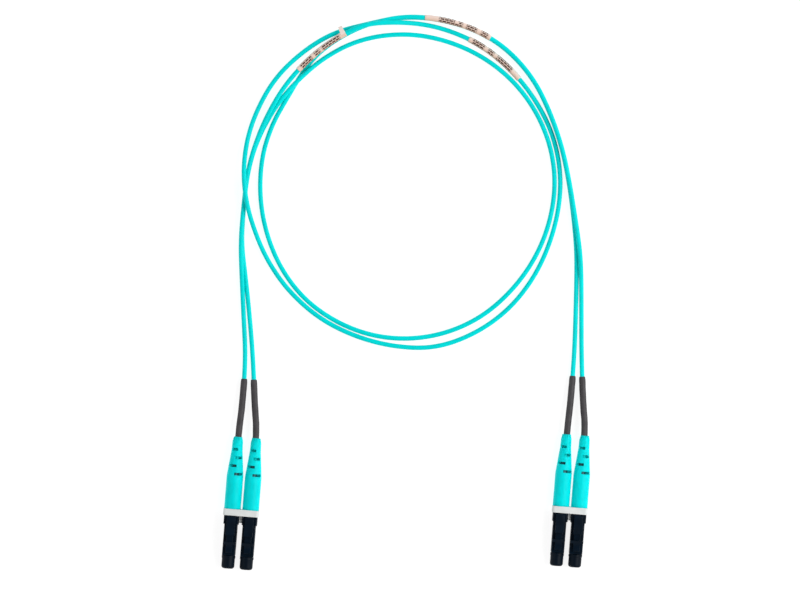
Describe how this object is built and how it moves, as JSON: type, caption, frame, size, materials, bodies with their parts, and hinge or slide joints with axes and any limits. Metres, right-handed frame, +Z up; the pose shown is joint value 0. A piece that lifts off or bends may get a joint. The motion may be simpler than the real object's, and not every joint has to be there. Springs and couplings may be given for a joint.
{
  "type": "duplex lc fibre patch cord",
  "caption": "Two-fibre patch cord lying in a loose loop, with a clipped pair of latching square plugs, slotted boots and dust caps at each end.",
  "frame": {"origin": "on the surface the cord lies on, midway between the two duplex connectors", "axes": "+X from the left connector to the right one, +Y from the plugs' noses towards the loop, +Z up, the latch side of the plugs"},
  "size_m": [0.1275, 0.1943, 0.0082],
  "materials": {
    "strand_jacket": "satin, slightly translucent extruded",
    "boot_plastic": "moulded satin",
    "sleeve_plastic": "heat-shrunk matt",
    "housing_plastic": "moulded satin",
    "cap_plastic": "moulded satin",
    "clip_plastic": "moulded satin",
    "label_film": "printed film",
    "zirconia": "polished ceramic",
    "nickel_brass": "turned, nickel plated",
    "crimp_metal": "drawn, blackened and crimped",
    "spring_steel": "drawn wire"
  },
  "bodies": {
    "cord_set": {"left_a_housing": "housing_plastic", "left_a_spring": "spring_steel", "left_a_rear_body": "nickel_brass", "left_a_crimp_ring": "crimp_metal", "left_a_boot": "boot_plastic", "left_a_tail_sleeve": "sleeve_plastic", "left_b_housing": "housing_plastic", "left_b_spring": "spring_steel", "left_b_rear_body": "nickel_brass", "left_b_crimp_ring": "crimp_metal", "left_b_boot": "boot_plastic", "left_b_tail_sleeve": "sleeve_plastic", "right_a_housing": "housing_plastic", "right_a_spring": "spring_steel", "right_a_rear_body": "nickel_brass", "right_a_crimp_ring": "crimp_metal", "right_a_boot": "boot_plastic", "right_a_tail_sleeve": "sleeve_plastic", "right_b_housing": "housing_plastic", "right_b_spring": "spring_steel", "right_b_rear_body": "nickel_brass", "right_b_crimp_ring": "crimp_metal", "right_b_boot": "boot_plastic", "right_b_tail_sleeve": "sleeve_plastic", "left_clip": "clip_plastic", "right_clip": "clip_plastic", "strand_1": "strand_jacket", "strand_2": "strand_jacket", "label_1": "label_film", "label_2": "label_film", "label_3": "label_film"},
    "left_a_latch": {"left_a_latch": "housing_plastic"},
    "left_a_trigger": {"left_a_trigger": "housing_plastic"},
    "left_a_ferrule": {"left_a_ferrule": "zirconia", "left_a_ferrule_holder": "nickel_brass"},
    "left_a_cap": {"left_a_dust_cap": "cap_plastic"},
    "left_b_latch": {"left_b_latch": "housing_plastic"},
    "left_b_trigger": {"left_b_trigger": "housing_plastic"},
    "left_b_ferrule": {"left_b_ferrule": "zirconia", "left_b_ferrule_holder": "nickel_brass"},
    "left_b_cap": {"left_b_dust_cap": "cap_plastic"},
    "right_a_latch": {"right_a_latch": "housing_plastic"},
    "right_a_trigger": {"right_a_trigger": "housing_plastic"},
    "right_a_ferrule": {"right_a_ferrule": "zirconia", "right_a_ferrule_holder": "nickel_brass"},
    "right_a_cap": {"right_a_dust_cap": "cap_plastic"},
    "right_b_latch": {"right_b_latch": "housing_plastic"},
    "right_b_trigger": {"right_b_trigger": "housing_plastic"},
    "right_b_ferrule": {"right_b_ferrule": "zirconia", "right_b_ferrule_holder": "nickel_brass"},
    "right_b_cap": {"right_b_dust_cap": "cap_plastic"}
  },
  "joints": [
    {"name": "left_a_trigger_press", "type": "hinge", "parent": "cord_set", "child": "left_a_trigger", "pos_m": [-0.05912, -0.00965, 0.0061], "axis": [1, 0, 0], "range_deg": [0, 8.5], "stiffness_Nm_per_rad": 0.05},
    {"name": "left_a_latch_press", "type": "hinge", "parent": "cord_set", "child": "left_a_latch", "pos_m": [-0.05912, -0.02135, 0.00576], "axis": [-1, 0, 0], "range_deg": [0, 6.5]},
    {"name": "left_a_ferrule_slide", "type": "slide", "parent": "cord_set", "child": "left_a_ferrule", "axis": [0, 1, 0], "range_m": [0, 0.001], "stiffness_N_per_m": 3000, "deforming": ["left_a_spring"]},
    {"name": "left_a_cap_pull", "type": "slide", "parent": "cord_set", "child": "left_a_cap", "axis": [0, -1, 0], "range_m": [0, 0.012]},
    {"name": "left_b_trigger_press", "type": "hinge", "parent": "cord_set", "child": "left_b_trigger", "pos_m": [-0.05287, -0.00965, 0.0061], "axis": [1, 0, 0], "range_deg": [0, 8.5], "stiffness_Nm_per_rad": 0.05},
    {"name": "left_b_latch_press", "type": "hinge", "parent": "cord_set", "child": "left_b_latch", "pos_m": [-0.05287, -0.02135, 0.00576], "axis": [-1, 0, 0], "range_deg": [0, 6.5]},
    {"name": "left_b_ferrule_slide", "type": "slide", "parent": "cord_set", "child": "left_b_ferrule", "axis": [0, 1, 0], "range_m": [0, 0.001], "stiffness_N_per_m": 3000, "deforming": ["left_b_spring"]},
    {"name": "left_b_cap_pull", "type": "slide", "parent": "cord_set", "child": "left_b_cap", "axis": [0, -1, 0], "range_m": [0, 0.012]},
    {"name": "right_a_trigger_press", "type": "hinge", "parent": "cord_set", "child": "right_a_trigger", "pos_m": [0.05287, 0.00025, 0.0061], "axis": [1, 0, 0], "range_deg": [0, 8.5], "stiffness_Nm_per_rad": 0.05},
    {"name": "right_a_latch_press", "type": "hinge", "parent": "cord_set", "child": "right_a_latch", "pos_m": [0.05287, -0.01145, 0.00576], "axis": [-1, 0, 0], "range_deg": [0, 6.5]},
    {"name": "right_a_ferrule_slide", "type": "slide", "parent": "cord_set", "child": "right_a_ferrule", "axis": [0, 1, 0], "range_m": [0, 0.001], "stiffness_N_per_m": 3000, "deforming": ["right_a_spring"]},
    {"name": "right_a_cap_pull", "type": "slide", "parent": "cord_set", "child": "right_a_cap", "axis": [0, -1, 0], "range_m": [0, 0.012]},
    {"name": "right_b_trigger_press", "type": "hinge", "parent": "cord_set", "child": "right_b_trigger", "pos_m": [0.05912, 0.00025, 0.0061], "axis": [1, 0, 0], "range_deg": [0, 8.5], "stiffness_Nm_per_rad": 0.05},
    {"name": "right_b_latch_press", "type": "hinge", "parent": "cord_set", "child": "right_b_latch", "pos_m": [0.05912, -0.01145, 0.00576], "axis": [-1, 0, 0], "range_deg": [0, 6.5]},
    {"name": "right_b_ferrule_slide", "type": "slide", "parent": "cord_set", "child": "right_b_ferrule", "axis": [0, 1, 0], "range_m": [0, 0.001], "stiffness_N_per_m": 3000, "deforming": ["right_b_spring"]},
    {"name": "right_b_cap_pull", "type": "slide", "parent": "cord_set", "child": "right_b_cap", "axis": [0, -1, 0], "range_m": [0, 0.012]}
  ],
  "couplings": [
    {"joint": "left_a_latch_press", "follows": "left_a_trigger_press", "ratio": 0.76},
    {"joint": "left_b_latch_press", "follows": "left_b_trigger_press", "ratio": 0.76},
    {"joint": "right_a_latch_press", "follows": "right_a_trigger_press", "ratio": 0.76},
    {"joint": "right_b_latch_press", "follows": "right_b_trigger_press", "ratio": 0.76}
  ]
}
